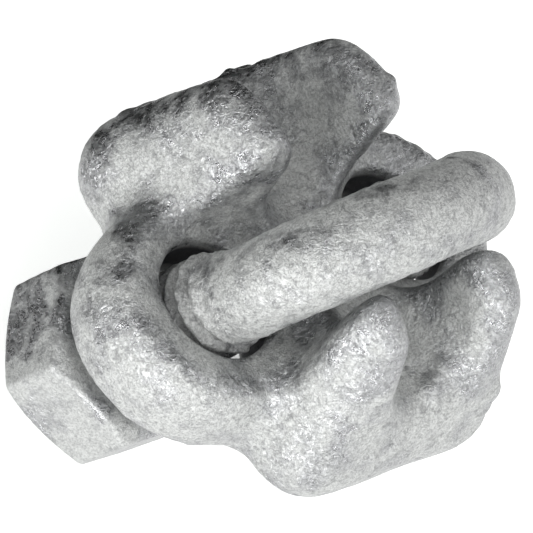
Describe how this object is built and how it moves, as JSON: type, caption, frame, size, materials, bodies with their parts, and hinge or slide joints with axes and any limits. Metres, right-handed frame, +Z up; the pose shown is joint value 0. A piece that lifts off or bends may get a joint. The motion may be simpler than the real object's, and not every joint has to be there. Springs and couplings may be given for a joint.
{
  "type": "wire rope clip",
  "caption": "Forged wire rope clip: a U-bolt passes through a horned saddle and is drawn down by hex nuts to clamp two lines of rope.",
  "frame": {"origin": "on the floor plane under the middle of the object's box; the leg ends stand on z = 0", "axes": "+Z up along the legs to the bow, +Y along the rope, legs at +X and -X"},
  "size_m": [0.0376, 0.0324, 0.0379],
  "materials": {
    "zinc_u_bolt": "hot-dip galvanised, mottled satin",
    "zinc_saddle": "hot-dip galvanised, mottled and lumpy",
    "zinc_nut_right": "galvanised, smooth satin",
    "zinc_nut_left": "galvanised, smooth satin"
  },
  "bodies": {
    "u_bolt": {"u_bolt": "zinc_u_bolt"},
    "saddle": {"saddle": "zinc_saddle"},
    "nut_right": {"nut_right": "zinc_nut_right"},
    "nut_left": {"nut_left": "zinc_nut_left"}
  },
  "joints": [
    {"name": "saddle_travel", "type": "slide", "parent": "u_bolt", "child": "saddle", "axis": [0, 0, 1], "range_m": [-0.003, 0.005]},
    {"name": "nut_right_spin", "type": "hinge", "parent": "saddle", "child": "nut_right", "pos_m": [0.00953, 0, 0.00305], "axis": [0, 0, 1], "range_deg": [-765.5, 1275.7]},
    {"name": "nut_left_spin", "type": "hinge", "parent": "saddle", "child": "nut_left", "pos_m": [-0.00953, 0, 0.00305], "axis": [0, 0, 1], "range_deg": [-765.5, 1275.7]}
  ],
  "couplings": [
    {"joint": "nut_right_spin", "follows": "saddle_travel", "rad_per_m": 4453},
    {"joint": "nut_left_spin", "follows": "saddle_travel", "rad_per_m": 4453}
  ]
}
